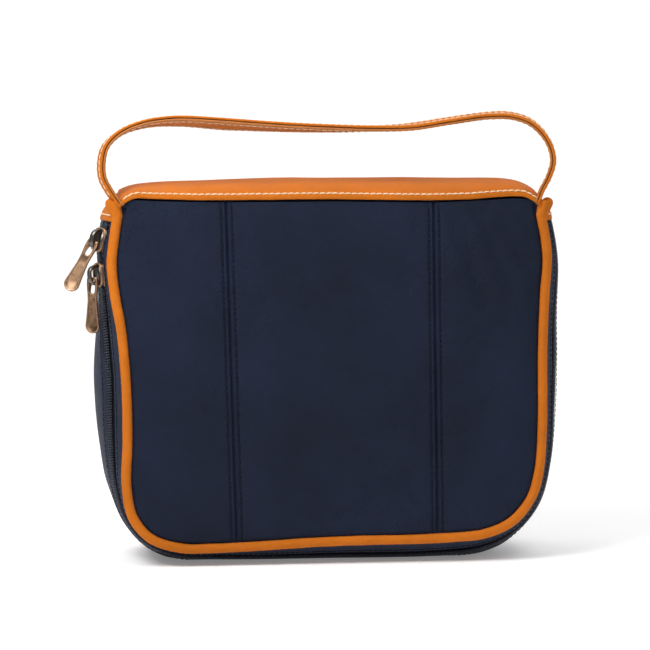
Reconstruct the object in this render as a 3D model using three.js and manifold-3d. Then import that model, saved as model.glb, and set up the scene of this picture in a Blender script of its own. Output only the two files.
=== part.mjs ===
// A leather shaving kit bag: a zip-round case whose front lid is hinged along the top edge.
// Millimetres, +Z up, +X to the bag's right as seen from the front, front face towards -Y.
// The origin is the middle of the flat underside that the bag stands on.
import * as THREE from "three";
import { mergeVertices } from "three/addons/utils/BufferGeometryUtils.js";
import Module from "manifold-3d";

const wasm = await Module();
wasm.setup();

// ---------- driving dimensions ----------
const PIPING_R = 2.85; // radius of the leather-covered piping
const PIPING_BORE_R = 1.65; // the leather sleeve's inside
const CORD_R = 1.3; // the cord that fills the sleeve
const PIPING_Y = 39.2; // distance of each piping's centre from the middle plane
const SEAM_Y = 37; // where the gusset's leather meets the piping
const SEAM_INSET = 2; // the seam lies this far inside the piping's outer edge
const ZIP_Y = -24; // depth of the zip's centre line
const MID_Y = 3; // depth where the sides bulge most
const LEATHER = 1.6;
const GAP = 0.3; // between layers that touch on the real bag
const TAPE_HALF_GAP = 0.85; // between each zip half and the zip's centre line
const COIL_WIDTH = 2.4;
const LEATHER_TO_ZIP = 5.4; // bare zip tape on each side of the centre line
const HINGE_Z = 208.3; // the lid's hinge line, under the top panel's front edge
const FACE_Y = -41; // outer face of the front panels
const PANEL_TOP_Z = 207.3;
const SIDE_TOP_Z = 202; // where the lid's edge pieces end below the corner tabs
const SLIDER_LENGTH = 14;
const SLIDER_WIDTH = 9.8;
const STRAP_WIDTH = 15;
const STRAP_LAYER = 1.25;
const STRAP_Y = -34.5;
const STRAP_START_Z = 214.3; // the moving strap starts above its sewn ends

const NAVY = new THREE.MeshStandardMaterial({ color: 0x1d2536, roughness: 0.55 });
const TAN = new THREE.MeshStandardMaterial({ color: 0xc96f22, roughness: 0.5 });
const BRONZE = new THREE.MeshStandardMaterial({ color: 0x9a6a42, roughness: 0.35, metalness: 0.9 });
const NYLON = new THREE.MeshStandardMaterial({ color: 0x141a28, roughness: 0.7 });
const LINING = new THREE.MeshStandardMaterial({ color: 0x2b2f38, roughness: 0.85 });
const BOARD = new THREE.MeshStandardMaterial({ color: 0xb9ae97, roughness: 0.9 });

// ---------- the bag's form: four outlines at four depths ----------
// Each outline is a U from the left top corner, down, along the bottom and up to the right top corner.
const straight = (a, b, n) =>
  Array.from({ length: n }, (_, i) => [a[0] + ((b[0] - a[0]) * i) / (n - 1), a[1] + ((b[1] - a[1]) * i) / (n - 1)]);

// Outer edge of the front piping: the soft bag pinches in below its top corners and leans a little.
const FRONT_EDGE = [
  [-122.2, 205], [-123.4, 200], [-125.6, 186.5], [-127, 173], [-125.2, 154.7], [-121.7, 134.3],
  [-119.2, 103], [-118.7, 72], [-119.4, 47], [-115.6, 27.5], [-104.8, 14.4], [-87.2, 8.2], [-65.6, 7.6],
  [0, 10.5], [68, 11.6], [90.6, 14], [106.5, 21.4], [117.9, 35.4], [122.7, 51.3], [124.5, 77.5],
  [124.4, 123], [125.5, 154.7], [126.7, 175.2], [125.2, 188.8], [122.9, 200], [122.2, 205],
];
// The zip's centre line on the outside: straight where the lower slider runs.
const SLIDE_TOP = [-130.7, 180];
const SLIDE_END = [-126, 106];
const ZIP_LINE = [
  [-123.6, 205], [-127.4, 192.5], ...straight(SLIDE_TOP, SLIDE_END, 9), [-125.4, 72], [-123.4, 46],
  [-117.5, 26], [-106, 11.5], [-88, 4], [-62, 2.2], [0, 2], [65, 2.5], [92, 6], [110, 15.5], [123, 32],
  [129, 55], [131.2, 90], [131.6, 140], [132.5, 172], [129.5, 192], [126, 205],
];
const MID_LINE = [
  [-126, 205], [-130.6, 190], [-132, 152], [-134.6, 115], [-133.6, 85], [-130.5, 60], [-126.5, 42],
  [-118, 21], [-105, 6], [-90, -1.4], [-60, -3], [0, -3], [60, -3], [90, -1.4], [106, 6], [119, 21], [128, 42],
  [132, 60], [135, 85], [135.8, 115], [134, 152], [130.6, 190], [126, 205],
];
const BACK_EDGE = [
  [-121, 205], [-124, 180], [-124, 120], [-122.5, 60], [-119.5, 38], [-112, 21], [-98, 8.5], [-80, 4.2],
  [0, 3], [80, 4.2], [98, 8.5], [112, 21], [119.5, 38], [122.5, 60], [124, 120], [124, 180], [121, 205],
];
const curveOf = (points) =>
  new THREE.CatmullRomCurve3(points.map(([x, z]) => new THREE.Vector3(x, 0, z)), false, "centripetal");
const frontEdge = curveOf(FRONT_EDGE);
const zipLine = curveOf(ZIP_LINE);
const midLine = curveOf(MID_LINE);
const backEdge = curveOf(BACK_EDGE);
for (const c of [frontEdge, zipLine, midLine, backEdge]) c.arcLengthDivisions = 600;

// Outward direction of an outline at a share u of its length, in the XZ plane.
function outward(curve, u) {
  const t = curve.getTangentAt(THREE.MathUtils.clamp(u, 0, 1));
  return new THREE.Vector3(t.z, 0, -t.x).normalize();
}
function insetPoint(curve, u, inset) {
  return curve.getPointAt(THREE.MathUtils.clamp(u, 0, 1)).addScaledVector(outward(curve, u), -inset);
}

// A point of the sides and bottom at share u and depth y, sunk below the outer surface by inset.
// In depth it is a smooth curve through the two seams, the zip line and the widest line.
const DEPTHS = [-SEAM_Y, ZIP_Y, MID_Y, SEAM_Y];
function side(u, y, inset = 0) {
  const through = [
    insetPoint(frontEdge, u, SEAM_INSET),
    zipLine.getPointAt(u),
    midLine.getPointAt(u),
    insetPoint(backEdge, u, SEAM_INSET),
  ];
  const depth = new THREE.CatmullRomCurve3(through.map((p, i) => p.setY(DEPTHS[i])), false, "catmullrom", 0.5);
  // The curve's own parameter is found from y by bisection, because its segments differ in length.
  let low = 0;
  let high = 1;
  for (let i = 0; i < 24; i++) {
    const middle = (low + high) / 2;
    if (depth.getPoint(middle).y < y) low = middle;
    else high = middle;
  }
  const p = depth.getPoint((low + high) / 2).setY(y);
  p.addScaledVector(outward(zipLine, u), -inset);
  p.z = Math.max(p.z, inset); // the underside is flat on the ground
  return p;
}

// ---------- solid builders ----------
function solidFromGrids(outer, inner) {
  const rows = outer.length;
  const columns = outer[0].length;
  const positions = [];
  const index = [];
  for (const grid of [outer, inner]) for (const row of grid) for (const p of row) positions.push(p.x, p.y, p.z);
  const at = (layer, i, j) => layer * rows * columns + i * columns + j;
  const quad = (a, b, c, d) => index.push(a, b, c, a, c, d);
  for (let i = 0; i + 1 < rows; i++)
    for (let j = 0; j + 1 < columns; j++) {
      quad(at(0, i, j), at(0, i, j + 1), at(0, i + 1, j + 1), at(0, i + 1, j));
      quad(at(1, i, j), at(1, i + 1, j), at(1, i + 1, j + 1), at(1, i, j + 1));
    }
  for (let i = 0; i + 1 < rows; i++) {
    quad(at(0, i, 0), at(0, i + 1, 0), at(1, i + 1, 0), at(1, i, 0));
    quad(at(0, i, columns - 1), at(1, i, columns - 1), at(1, i + 1, columns - 1), at(0, i + 1, columns - 1));
  }
  for (let j = 0; j + 1 < columns; j++) {
    quad(at(0, 0, j), at(1, 0, j), at(1, 0, j + 1), at(0, 0, j + 1));
    quad(at(0, rows - 1, j), at(0, rows - 1, j + 1), at(1, rows - 1, j + 1), at(1, rows - 1, j));
  }
  return new THREE.BufferGeometry()
    .setAttribute("position", new THREE.Float32BufferAttribute(positions, 3))
    .setIndex(index);
}
function grid(rows, columns, point) {
  return Array.from({ length: rows + 1 }, (_, i) =>
    Array.from({ length: columns + 1 }, (_, j) => point(i / rows, j / columns)));
}
const lerp = THREE.MathUtils.lerp;

// Every strip shares the same stations along the U and in depth, so that layers nest without touching.
const STATIONS = 56;
const DEPTH_STATIONS = [-34, -31.7, -29.4, -27.1, -20.9, -18.6, -16.4, -14.2, -8, 0, 8, 16, 24, 31];
function sharesBetween(u0, u1) {
  const all = Array.from({ length: STATIONS + 1 }, (_, i) => lerp(U_START, U_END, i / STATIONS));
  return [u0, ...all.filter((u) => u > u0 + 1e-4 && u < u1 - 1e-4), u1];
}
// A strip of the sides and bottom between two shares of the U, two depths and two insets.
function sideStrip(u0, u1, y0, y1, inset0, inset1) {
  const depths = [y0, ...DEPTH_STATIONS.filter((y) => y > y0 + 0.3 && y < y1 - 0.3), y1];
  const layer = (inset) => sharesBetween(u0, u1).map((u) => depths.map((y) => side(u, y, inset)));
  return solidFromGrids(layer(inset0), layer(inset1));
}

const toManifold = (geometry) => {
  const g = geometry.clone();
  g.deleteAttribute("normal");
  g.deleteAttribute("uv");
  const merged = mergeVertices(g, 1e-3);
  return new wasm.Manifold(
    new wasm.Mesh({
      numProp: 3,
      vertProperties: new Float32Array(merged.attributes.position.array),
      triVerts: new Uint32Array(merged.index.array),
    }),
  );
};
const toGeometry = (solid) => {
  const m = solid.getMesh();
  return new THREE.BufferGeometry()
    .setAttribute("position", new THREE.BufferAttribute(m.vertProperties, 3))
    .setIndex(new THREE.BufferAttribute(m.triVerts, 1));
};
function box(width, depth, height, x = 0, y = 0, z = 0) {
  return new THREE.BoxGeometry(width, depth, height).translate(x, y, z);
}

const group = new THREE.Group();
function add(name, geometry, material, parent = group) {
  const mesh = new THREE.Mesh(geometry, material);
  mesh.name = name;
  parent.add(mesh);
  return mesh;
}

// Share of a curve's length at which it passes a height on its left or right side.
function shareAtHeight(curve, z, onLeft) {
  let low = onLeft ? 0 : 0.7;
  let high = onLeft ? 0.3 : 1;
  for (let i = 0; i < 40; i++) {
    const middle = (low + high) / 2;
    if (curve.getPointAt(middle).z > z === onLeft) low = middle;
    else high = middle;
  }
  return (low + high) / 2;
}
const U_START = shareAtHeight(zipLine, SIDE_TOP_Z, true);
const U_END = shareAtHeight(zipLine, SIDE_TOP_Z, false);

// ---------- piping: a leather sleeve round a cord, along a U outline ----------
function pipingCurve(edge, y) {
  const points = [];
  const count = 48;
  const first = shareAtHeight(edge, SIDE_TOP_Z, true);
  const last = shareAtHeight(edge, SIDE_TOP_Z, false);
  for (let i = 0; i <= count; i++) {
    points.push(insetPoint(edge, lerp(first, last, i / count), PIPING_R).setY(y));
  }
  return points;
}
function ring(radius, sides) {
  return Array.from({ length: sides }, (_, k) => {
    const a = (2 * Math.PI * k) / sides;
    return [radius * Math.cos(a), radius * Math.sin(a)];
  });
}
// Sweeps a closed section, given as [along the outline's normal, along Y], and an optional bore.
function sweepPlanar(points, section, bore) {
  const count = points.length;
  const normals = points.map((_, i) => {
    const t = points[Math.min(i + 1, count - 1)].clone().sub(points[Math.max(i - 1, 0)]);
    return new THREE.Vector3(t.z, 0, -t.x).normalize();
  });
  const loops = bore ? [section, bore] : [section];
  const sides = section.length;
  const positions = [];
  const index = [];
  for (const loop of loops)
    points.forEach((p, i) => {
      for (const [n, y] of loop) positions.push(p.x + normals[i].x * n, p.y + y, p.z + normals[i].z * n);
    });
  const at = (layer, i, k) => layer * count * sides + i * sides + (k % sides);
  const quad = (a, b, c, d) => index.push(a, b, c, a, c, d);
  for (let i = 0; i + 1 < count; i++)
    for (let k = 0; k < sides; k++) {
      quad(at(0, i, k), at(0, i, k + 1), at(0, i + 1, k + 1), at(0, i + 1, k));
      if (bore) quad(at(1, i, k), at(1, i + 1, k), at(1, i + 1, k + 1), at(1, i, k + 1));
    }
  for (let k = 0; k < sides; k++) {
    if (bore) {
      quad(at(0, 0, k), at(1, 0, k), at(1, 0, k + 1), at(0, 0, k + 1));
      quad(at(0, count - 1, k), at(0, count - 1, k + 1), at(1, count - 1, k + 1), at(1, count - 1, k));
    } else if (k > 0 && k + 1 < sides) {
      index.push(at(0, 0, 0), at(0, 0, k + 1), at(0, 0, k));
      index.push(at(0, count - 1, 0), at(0, count - 1, k), at(0, count - 1, k + 1));
    }
  }
  return new THREE.BufferGeometry()
    .setAttribute("position", new THREE.Float32BufferAttribute(positions, 3))
    .setIndex(index);
}
const PIPING_SIDES = 8;
for (const [name, edge, y] of [["front", frontEdge, -PIPING_Y], ["back", backEdge, PIPING_Y]]) {
  const line = pipingCurve(edge, y);
  add(name + "_piping", sweepPlanar(line, ring(PIPING_R, PIPING_SIDES), ring(PIPING_BORE_R, PIPING_SIDES)), TAN);
  add(name + "_piping_cord", sweepPlanar(line, ring(CORD_R, 6)), LINING);
}

// ---------- flat faces of the lid and the back ----------
// A sheet bounded by an inset outline and a straight top edge, between two depths.
function faceSheet(edge, inset, topZ, yFront, yBack) {
  const steps = 40;
  const first = shareAtHeight(edge, topZ - 6, true);
  const last = shareAtHeight(edge, topZ - 6, false);
  const shape = new THREE.Shape();
  const corner = insetPoint(edge, first, inset);
  shape.moveTo(corner.x, topZ);
  for (let i = 0; i <= steps; i++) {
    const p = insetPoint(edge, lerp(first, last, i / steps), inset);
    shape.lineTo(p.x, p.z);
  }
  shape.lineTo(insetPoint(edge, last, inset).x, topZ);
  shape.closePath();
  const g = new THREE.ExtrudeGeometry(shape, { depth: yBack - yFront, bevelEnabled: false });
  return g.rotateX(Math.PI / 2).translate(0, yBack, 0);
}
const FACE_INSET = 2 * PIPING_R + 2 * GAP;

// The front is three panels, sewn edge to edge along two slightly leaning seams.
const SEAMS = [
  { topX: -59.6, bottomX: -53.6 },
  { topX: 58.3, bottomX: 61.5 },
];
const frontFace = toManifold(faceSheet(frontEdge, FACE_INSET, PANEL_TOP_Z, FACE_Y, FACE_Y + LEATHER));
function seamBand(left, right) {
  const shape = new THREE.Shape();
  const low = -5;
  shape.moveTo(left.topX + GAP / 2, HINGE_Z + 5);
  shape.lineTo(left.bottomX + GAP / 2, low);
  shape.lineTo(right.bottomX - GAP / 2, low);
  shape.lineTo(right.topX - GAP / 2, HINGE_Z + 5);
  shape.closePath();
  const g = new THREE.ExtrudeGeometry(shape, { depth: 10, bevelEnabled: false });
  return toManifold(g.rotateX(Math.PI / 2).translate(0, FACE_Y + 5, 0));
}
const FAR = { left: { topX: -200, bottomX: -200 }, right: { topX: 200, bottomX: 200 } };
for (const [name, left, right] of [
  ["front_left_panel", FAR.left, SEAMS[0]],
  ["front_centre_panel", SEAMS[0], SEAMS[1]],
  ["front_right_panel", SEAMS[1], FAR.right],
]) {
  add(name, toGeometry(frontFace.intersect(seamBand(left, right))), NAVY);
}
const FOAM_Y = FACE_Y + LEATHER + GAP;
const FOAM = 2.6;
add("lid_foam_pad", faceSheet(frontEdge, FACE_INSET + 1, PANEL_TOP_Z - 2, FOAM_Y, FOAM_Y + FOAM), BOARD);
const LID_LINING_Y = FOAM_Y + FOAM + GAP;
const CLOTH = 0.8;
add("lid_lining", faceSheet(frontEdge, FACE_INSET, PANEL_TOP_Z - 2, LID_LINING_Y, LID_LINING_Y + CLOTH), LINING);

// Mesh pocket on the inside of the lid, with a bound top edge.
const POCKET = { width: 196, height: 104, bottomZ: 24, y: LID_LINING_Y + CLOTH + GAP };
add("lid_mesh_pocket",
  box(POCKET.width, CLOTH, POCKET.height, 0, POCKET.y + CLOTH / 2, POCKET.bottomZ + POCKET.height / 2), LINING);
const BINDING = 9;
add("lid_pocket_binding",
  box(POCKET.width, 1.4, BINDING, 0, POCKET.y + 0.7, POCKET.bottomZ + POCKET.height + GAP + BINDING / 2), TAN);

// The back: leather outside, then a stiffening board, then lining with an elastic loop band.
const BACK_Y = -FACE_Y;
add("back_panel", faceSheet(backEdge, FACE_INSET, PANEL_TOP_Z - 0.4, BACK_Y - LEATHER, BACK_Y), NAVY);
const BOARD_THICK = 1.5;
const BOARD_Y = BACK_Y - LEATHER - GAP - BOARD_THICK;
add("back_board", faceSheet(backEdge, FACE_INSET + 2, PANEL_TOP_Z - 4, BOARD_Y, BOARD_Y + BOARD_THICK), BOARD);
const BACK_LINING_Y = BOARD_Y - GAP - CLOTH;
add("back_lining", faceSheet(backEdge, FACE_INSET, PANEL_TOP_Z - 4, BACK_LINING_Y, BACK_LINING_Y + CLOTH), LINING);

// An elastic band sewn flat across the lining: it stretches round whatever is pushed behind it.
const BAND = { width: 190, height: 24, z: 120, thick: 1 };
add("elastic_loop_band",
  box(BAND.width, BAND.thick, BAND.height, 0, BACK_LINING_Y - GAP - BAND.thick / 2, BAND.z), NYLON);

// ---------- sides and bottom ----------
const FRONT_STRIP_END = ZIP_Y - LEATHER_TO_ZIP;
const GUSSET_START = ZIP_Y + LEATHER_TO_ZIP;
const GUSSET_END = SEAM_Y - 1;
const TAPE_INSET = LEATHER + GAP;
const TAPE = 0.7;
const COIL_PROUD = 0.3;
const LINING_INSET = TAPE_INSET + TAPE + GAP;
const BASE_BOARD_INSET = LINING_INSET + CLOTH + GAP;

add("front_gusset_strip", sideStrip(U_START, U_END, -SEAM_Y + 1, FRONT_STRIP_END, 0, LEATHER), NAVY);
add("rear_gusset", sideStrip(U_START, U_END, GUSSET_START, GUSSET_END, 0, LEATHER), NAVY);
add("gusset_lining",
  sideStrip(U_START, U_END, GUSSET_START + 0.6, BACK_LINING_Y - GAP, LINING_INSET, LINING_INSET + CLOTH), LINING);

// The zip's front half stays closed above the lower slider, so its left end is a separate stretch.
const LOWER_SLIDER_Z = 166;
const UPPER_SLIDER_Z = 185.5;
const U_SPLIT = shareAtHeight(zipLine, LOWER_SLIDER_Z - SLIDER_LENGTH / 2 - 1.4, true);
const U_SPLIT_END = shareAtHeight(zipLine, LOWER_SLIDER_Z - SLIDER_LENGTH / 2 - 0.7, true);
add("lid_gusset_lining",
  sideStrip(U_SPLIT, U_END, -SEAM_Y + 3, FRONT_STRIP_END - 0.6, LINING_INSET, LINING_INSET + CLOTH), LINING);
const coilInner = ZIP_Y - TAPE_HALF_GAP;
const coilRear = ZIP_Y + TAPE_HALF_GAP;
for (const [suffix, u0, u1] of [["", U_SPLIT, U_END], ["_closed_end", U_START, U_SPLIT_END]]) {
  add("front_zip_tape" + suffix,
    sideStrip(u0, u1, FRONT_STRIP_END - 4, coilInner, TAPE_INSET, TAPE_INSET + TAPE), NYLON);
  add("front_zip_coil" + suffix,
    sideStrip(u0, u1, coilInner - COIL_WIDTH, coilInner, -COIL_PROUD, LEATHER), NYLON);
}
add("rear_zip_tape",
  sideStrip(U_START, U_END, coilRear + 0.8, GUSSET_START + 4, TAPE_INSET, TAPE_INSET + TAPE), NYLON);
add("rear_zip_coil", sideStrip(U_START, U_END, coilRear, coilRear + COIL_WIDTH, -COIL_PROUD, LEATHER), NYLON);

// A board stiffens the bottom, between the rounded lower corners.
add("base_board", box(150, 26, 1.6, 0, 0, BASE_BOARD_INSET + 1.4), BOARD);

// ---------- top panel ----------
const TOP = { halfX: 116.5, halfY: 41.8, frontZ: 208.7, rise: 9.4, thick: 1.8 };
function topHeight(x, y) {
  const across = Math.max(0, Math.sin((Math.PI * (y + TOP.halfY)) / (2 * TOP.halfY))) ** 0.62;
  const end = 1 - Math.abs(x / TOP.halfX) ** 5 * 0.55;
  const lean = 1 + 0.08 * (x / TOP.halfX); // fuller towards the right
  return TOP.frontZ + TOP.thick + TOP.rise * across * end * lean;
}
function topSheet(halfX, halfY, sink, thick) {
  const layer = (drop) => grid(18, 14, (a, b) => {
    // Depth steps crowd towards the two edges, where the panel curves most.
    const y = -halfY * Math.cos(Math.PI * b);
    const x = lerp(-halfX, halfX, a);
    return new THREE.Vector3(x, y, topHeight(x, THREE.MathUtils.clamp(y, -TOP.halfY, TOP.halfY)) - drop);
  });
  return solidFromGrids(layer(sink + thick), layer(sink));
}
add("top_panel", topSheet(TOP.halfX, TOP.halfY, 0, TOP.thick), TAN);
add("top_lining", topSheet(TOP.halfX - 3, TOP.halfY - 6, TOP.thick + GAP, CLOTH), LINING);

// Corner tabs close the four top corners; the handle is sewn into the front two.
const TAB = { width: 5.6, height: 7, bottomZ: SIDE_TOP_Z + 1 };
for (const [sideName, sign] of [["left", -1], ["right", 1]]) {
  const x = sign * 121;
  add(sideName + "_handle_tab", box(TAB.width, 15, TAB.height, x, -34, TAB.bottomZ + TAB.height / 2), TAN);
  const endTab = box(TAB.width, 54, TAB.height - 2.4, x + sign * 1.5, 3, TAB.bottomZ + TAB.height / 2 - 1.2);
  add(sideName + "_gusset_end_tab", endTab, TAN);
}

// ---------- handle: two leather layers sewn together ----------
const HANDLE_LINE = [
  [-118.4, 205.3], [-125.2, 213.8], [-128.8, 220.6], [-129.5, 229.1], [-127.2, 238.2], [-120, 245.4],
  [-107.1, 250.7], [-89, 252.8], [-57.1, 251], [-20, 249.2], [22.4, 248.6], [45.2, 249.6], [67.9, 253],
  [90.6, 256], [104, 255.8], [115.5, 251.6], [124.6, 241.6], [127.8, 230.8], [125.6, 221.8],
  [121.3, 213.8], [118.1, 206.5],
];
const handleLine = curveOf(HANDLE_LINE);
handleLine.arcLengthDivisions = 400;
function strapLayer(offset0, offset1) {
  const steps = 56;
  const first = handleShare(true);
  const last = handleShare(false);
  const layer = (offset) => grid(steps, 1, (a, b) => {
    const u = lerp(first, last, a);
    const t = handleLine.getTangentAt(u);
    const p = handleLine.getPointAt(u);
    // The strap narrows towards its sewn ends.
    const fromEnd = Math.min(a, 1 - a) * steps;
    const width = STRAP_WIDTH * lerp(0.62, 1, THREE.MathUtils.smoothstep(fromEnd, 0, 3));
    return new THREE.Vector3(p.x - t.z * offset, STRAP_Y + width * (b - 0.5), p.z + t.x * offset);
  });
  return solidFromGrids(layer(offset0), layer(offset1));
}
function handleShare(onLeft) {
  for (let i = 0; i < 400; i++) {
    const u = onLeft ? i / 400 : 1 - i / 400;
    if (handleLine.getPointAt(u).z > STRAP_START_Z) return u;
  }
  return 0;
}
add("handle_outer_strap", strapLayer(GAP / 2, GAP / 2 + STRAP_LAYER), TAN);
add("handle_inner_strap", strapLayer(-GAP / 2 - STRAP_LAYER, -GAP / 2), TAN);

// ---------- zip sliders and pulls ----------
// Local frame of a slider: X outward from the zip, Y across it, Z up along it.
const PLATE = 1.1;
const CHANNEL_OUT = 1.3; // clear of the coil
const CHANNEL_IN = -4.2; // clear of the tape
const BRIDGE = { width: 2.6, thick: 1.2, headZ: 5.6, tailZ: -5.6, rise: 6 };
const PIVOT = { x: CHANNEL_OUT + PLATE + 3.7, z: -2 };

function sliderBody() {
  const outerPlate = box(PLATE, SLIDER_WIDTH, SLIDER_LENGTH, CHANNEL_OUT + PLATE / 2);
  const innerPlate = box(PLATE, SLIDER_WIDTH - 1, SLIDER_LENGTH, CHANNEL_IN - PLATE / 2);
  const webHeight = 3;
  const web = box(CHANNEL_OUT - CHANNEL_IN + 0.4, 0.7, webHeight, (CHANNEL_OUT + CHANNEL_IN) / 2, 0,
    SLIDER_LENGTH / 2 - webHeight / 2);
  let solid = toManifold(outerPlate).add(toManifold(innerPlate)).add(toManifold(web));
  for (const sign of [-1, 1]) {
    const flange = box(1.5, 0.8, SLIDER_LENGTH, CHANNEL_OUT - 0.65, sign * (SLIDER_WIDTH / 2 - 0.4));
    solid = solid.add(toManifold(flange));
  }
  return toGeometry(solid);
}
function sliderBridge() {
  const base = CHANNEL_OUT + PLATE + GAP;
  const arch = (z, x) => [z, x];
  const outer = [
    arch(BRIDGE.headZ, base), arch(BRIDGE.headZ, base + 2.6), arch(BRIDGE.headZ - 2, base + BRIDGE.rise),
    arch(BRIDGE.tailZ + 2, base + BRIDGE.rise), arch(BRIDGE.tailZ, base + 2.6), arch(BRIDGE.tailZ, base),
  ];
  const t = BRIDGE.thick;
  const inner = [
    arch(BRIDGE.tailZ + t, base), arch(BRIDGE.tailZ + t, base + 2), arch(BRIDGE.tailZ + 2 + t / 2, base + BRIDGE.rise - t),
    arch(BRIDGE.headZ - 2 - t / 2, base + BRIDGE.rise - t), arch(BRIDGE.headZ - t, base + 2), arch(BRIDGE.headZ - t, base),
  ];
  const shape = new THREE.Shape([...outer, ...inner].map(([z, x]) => new THREE.Vector2(x, z)));
  const g = new THREE.ExtrudeGeometry(shape, { depth: BRIDGE.width, bevelEnabled: false });
  return g.translate(0, 0, -BRIDGE.width / 2).rotateX(Math.PI / 2);
}
// The pull hangs from its top bar, which turns inside the bridge: the origin is the bar's middle.
const PULL = { length: 31, topHalf: 3.6, waistHalf: 2.9, endHalf: 4.6, thick: 1.7, slotHalf: 2, slotTop: 1, slotEnd: 8.2 };
function pullTab() {
  const shape = new THREE.Shape();
  shape.moveTo(-PULL.topHalf, 0.2);
  shape.quadraticCurveTo(-PULL.topHalf, 1, -PULL.topHalf + 1, 1);
  shape.lineTo(PULL.topHalf - 1, 1);
  shape.quadraticCurveTo(PULL.topHalf, 1, PULL.topHalf, 0.2);
  shape.bezierCurveTo(PULL.topHalf, -8, PULL.waistHalf, -9, PULL.waistHalf, -12);
  shape.lineTo(PULL.endHalf, -PULL.length + PULL.endHalf);
  shape.absarc(0, -PULL.length + PULL.endHalf, PULL.endHalf, 0, -Math.PI, true);
  shape.lineTo(-PULL.waistHalf, -12);
  shape.bezierCurveTo(-PULL.waistHalf, -9, -PULL.topHalf, -8, -PULL.topHalf, 0.2);
  const slot = new THREE.Path();
  slot.moveTo(-PULL.slotHalf, -PULL.slotTop);
  slot.lineTo(-PULL.slotHalf, -PULL.slotEnd + PULL.slotHalf);
  slot.absarc(0, -PULL.slotEnd + PULL.slotHalf, PULL.slotHalf, Math.PI, 2 * Math.PI, false);
  slot.lineTo(PULL.slotHalf, -PULL.slotTop);
  slot.closePath();
  shape.holes.push(slot);
  const g = new THREE.ExtrudeGeometry(shape, { depth: PULL.thick, bevelEnabled: false, curveSegments: 8 });
  // The shape's plane becomes the slider's YZ plane, and its thickness lies along X.
  return g.translate(0, 0, -PULL.thick / 2).rotateX(Math.PI / 2).rotateZ(Math.PI / 2);
}

// Where each slider sits, how far down the zip it can run, and how far its pull's hanging end swings outward.
const SLIDERS = {
  upper: { z: UPPER_SLIDER_Z, run: 2, swing: 13 },
  lower: { z: LOWER_SLIDER_Z, run: 50, swing: 4 },
};
for (const [name, s] of Object.entries(SLIDERS)) {
  const u = shareAtHeight(zipLine, s.z, true);
  const place = zipLine.getPointAt(u).setY(ZIP_Y);
  // The slider lies along its run, and leans as the zip does half-way down it.
  const end = zipLine.getPointAt(shareAtHeight(zipLine, s.z - s.run, true)).setY(ZIP_Y);
  const up = place.clone().sub(end).normalize();
  const middle = shareAtHeight(zipLine, s.z - s.run / 2, true);
  const across = side(middle, ZIP_Y + 2).sub(side(middle, ZIP_Y - 2));
  const out = new THREE.Vector3().crossVectors(up, across).normalize();
  const y = new THREE.Vector3().crossVectors(up, out);
  const frame = new THREE.Group();
  frame.applyMatrix4(new THREE.Matrix4().makeBasis(out, y, up).setPosition(place));
  group.add(frame);
  add(name + "_slider_body", sliderBody(), BRONZE, frame);
  add(name + "_slider_bridge", sliderBridge(), BRONZE, frame);
  const pull = add(name + "_pull_tab", pullTab(), BRONZE, frame);
  pull.position.set(PIVOT.x, 0, PIVOT.z);
  pull.rotation.y = -THREE.MathUtils.degToRad(s.swing);
}

export default group;
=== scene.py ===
"""A leather shaving kit bag: the looks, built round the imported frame. Metres, in the frame's own axes."""

import math
import random

import bmesh
import bpy
import numpy as np
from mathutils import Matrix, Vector, noise


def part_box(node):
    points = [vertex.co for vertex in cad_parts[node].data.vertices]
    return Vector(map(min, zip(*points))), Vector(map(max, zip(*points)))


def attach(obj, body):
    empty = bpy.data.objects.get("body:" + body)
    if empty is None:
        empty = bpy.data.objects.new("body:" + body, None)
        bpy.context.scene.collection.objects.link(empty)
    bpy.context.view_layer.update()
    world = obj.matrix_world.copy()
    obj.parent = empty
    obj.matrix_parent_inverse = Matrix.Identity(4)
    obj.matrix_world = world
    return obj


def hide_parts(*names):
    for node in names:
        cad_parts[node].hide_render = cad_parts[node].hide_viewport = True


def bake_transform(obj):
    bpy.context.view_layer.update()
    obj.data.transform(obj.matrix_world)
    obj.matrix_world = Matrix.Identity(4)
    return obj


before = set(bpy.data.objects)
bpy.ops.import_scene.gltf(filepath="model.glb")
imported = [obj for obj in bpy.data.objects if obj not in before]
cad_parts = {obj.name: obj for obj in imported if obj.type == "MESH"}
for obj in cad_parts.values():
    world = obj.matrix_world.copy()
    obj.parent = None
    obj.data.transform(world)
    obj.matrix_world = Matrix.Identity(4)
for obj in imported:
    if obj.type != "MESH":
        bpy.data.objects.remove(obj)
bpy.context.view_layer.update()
MM = 0.001
random.seed(7)

# ---------- the bag's form, as in the solid model: outlines at four depths, in millimetres ----------
FRONT_EDGE = [
    (-122.2, 205), (-123.4, 200), (-125.6, 186.5), (-127, 173), (-125.2, 154.7), (-121.7, 134.3),
    (-119.2, 103), (-118.7, 72), (-119.4, 47), (-115.6, 27.5), (-104.8, 14.4), (-87.2, 8.2), (-65.6, 7.6),
    (0, 10.5), (68, 11.6), (90.6, 14), (106.5, 21.4), (117.9, 35.4), (122.7, 51.3), (124.5, 77.5),
    (124.4, 123), (125.5, 154.7), (126.7, 175.2), (125.2, 188.8), (122.9, 200), (122.2, 205),
]
ZIP_LINE = [
    (-123.6, 205), (-127.4, 192.5),
    *[(-130.7 + 4.7 * k / 8, 180 - 74 * k / 8) for k in range(9)],
    (-125.4, 72), (-123.4, 46),
    (-117.5, 26), (-106, 11.5), (-88, 4), (-62, 2.2), (0, 2), (65, 2.5), (92, 6), (110, 15.5), (123, 32),
    (129, 55), (131.2, 90), (131.6, 140), (132.5, 172), (129.5, 192), (126, 205),
]
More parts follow.
